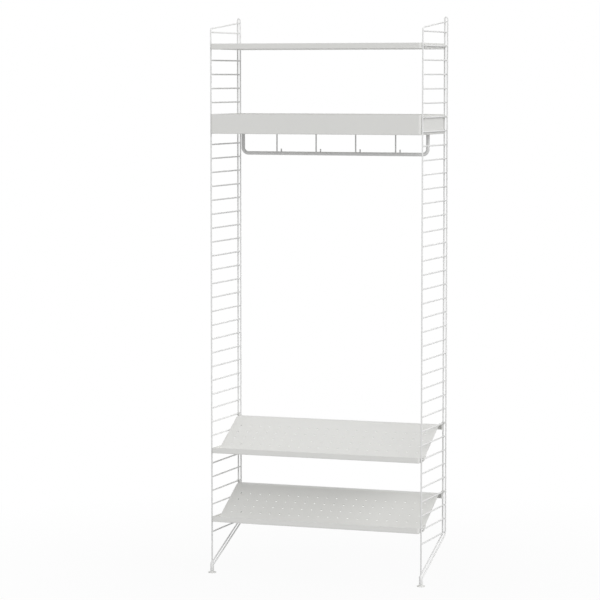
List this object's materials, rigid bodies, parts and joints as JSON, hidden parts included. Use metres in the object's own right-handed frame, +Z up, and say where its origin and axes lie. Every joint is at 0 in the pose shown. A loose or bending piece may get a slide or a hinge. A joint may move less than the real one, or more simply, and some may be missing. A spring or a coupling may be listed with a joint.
{
  "type": "wall-fixed hallway coat rack",
  "caption": "Wall-fixed hallway coat rack: wire ladders on levelling feet carry a top shelf, a hat tray with clothes rail and coat hooks, and sloping shoe shelves.",
  "frame": {"origin": "floor level under the middle of the overall width and depth", "axes": "+X along the wall to the right as seen from the room, +Y back to the wall, +Z up"},
  "size_m": [0.8214, 0.2942, 2.006],
  "materials": {
    "white_wire": "white powder coat, satin",
    "white_sheet": "white powder coat, satin, fine orange peel",
    "white_rail": "white powder coat, satin",
    "white_hook": "white powder coat, satin",
    "zinc_stud": "bright zinc plate",
    "zinc_screw": "bright zinc plate",
    "rail_plug": "moulded nylon",
    "foot_plastic": "white moulded plastic, fine matt"
  },
  "bodies": {
    "ladders": {"left_front_wire": "white_wire", "left_rear_wires": "white_wire", "left_rungs": "white_wire", "left_foot_socket": "white_wire", "right_front_wire": "white_wire", "right_rear_wires": "white_wire", "right_rungs": "white_wire", "right_foot_socket": "white_wire"},
    "left_foot": {"left_foot_stud": "zinc_stud", "left_foot_pad": "foot_plastic"},
    "right_foot": {"right_foot_stud": "zinc_stud", "right_foot_pad": "foot_plastic"},
    "top_shelf": {"top_shelf": "white_sheet"},
    "hat_shelf": {"hat_shelf": "white_sheet", "clothes_rail": "white_rail", "rail_plugs": "rail_plug", "rail_screws": "zinc_screw"},
    "upper_shoe_shelf": {"upper_shoe_shelf": "white_sheet"},
    "lower_shoe_shelf": {"lower_shoe_shelf": "white_sheet"},
    "coat_hook_1": {"coat_hook_1": "white_hook"},
    "coat_hook_2": {"coat_hook_2": "white_hook"},
    "coat_hook_3": {"coat_hook_3": "white_hook"},
    "coat_hook_4": {"coat_hook_4": "white_hook"}
  },
  "joints": [
    {"name": "left_foot_level", "type": "slide", "parent": "ladders", "child": "left_foot", "axis": [0, 0, 1], "range_m": [-0.008, 0.0012]},
    {"name": "right_foot_level", "type": "slide", "parent": "ladders", "child": "right_foot", "axis": [0, 0, 1], "range_m": [-0.008, 0.0012]},
    {"name": "top_shelf_lift", "type": "slide", "parent": "ladders", "child": "top_shelf", "axis": [0, 0, 1], "range_m": [0, 0.015]},
    {"name": "hat_shelf_lift", "type": "slide", "parent": "ladders", "child": "hat_shelf", "axis": [0, 0, 1], "range_m": [0, 0.015]},
    {"name": "upper_shoe_shelf_lift", "type": "slide", "parent": "ladders", "child": "upper_shoe_shelf", "axis": [0, 0, 1], "range_m": [0, 0.015]},
    {"name": "lower_shoe_shelf_lift", "type": "slide", "parent": "ladders", "child": "lower_shoe_shelf", "axis": [0, 0, 1], "range_m": [0, 0.015]},
    {"name": "coat_hook_1_swivel", "type": "hinge", "parent": "hat_shelf", "child": "coat_hook_1", "pos_m": [-0.2265, 0.08743, 1.589], "axis": [0, 0, 1], "range_deg": [-18, 198]},
    {"name": "coat_hook_2_swivel", "type": "hinge", "parent": "hat_shelf", "child": "coat_hook_2", "pos_m": [-0.0755, 0.08743, 1.589], "axis": [0, 0, 1], "range_deg": [-18, 198]},
    {"name": "coat_hook_3_swivel", "type": "hinge", "parent": "hat_shelf", "child": "coat_hook_3", "pos_m": [0.0755, 0.08743, 1.589], "axis": [0, 0, 1], "range_deg": [-18, 198]},
    {"name": "coat_hook_4_swivel", "type": "hinge", "parent": "hat_shelf", "child": "coat_hook_4", "pos_m": [0.2265, 0.08743, 1.589], "axis": [0, 0, 1], "range_deg": [-18, 198]}
  ]
}
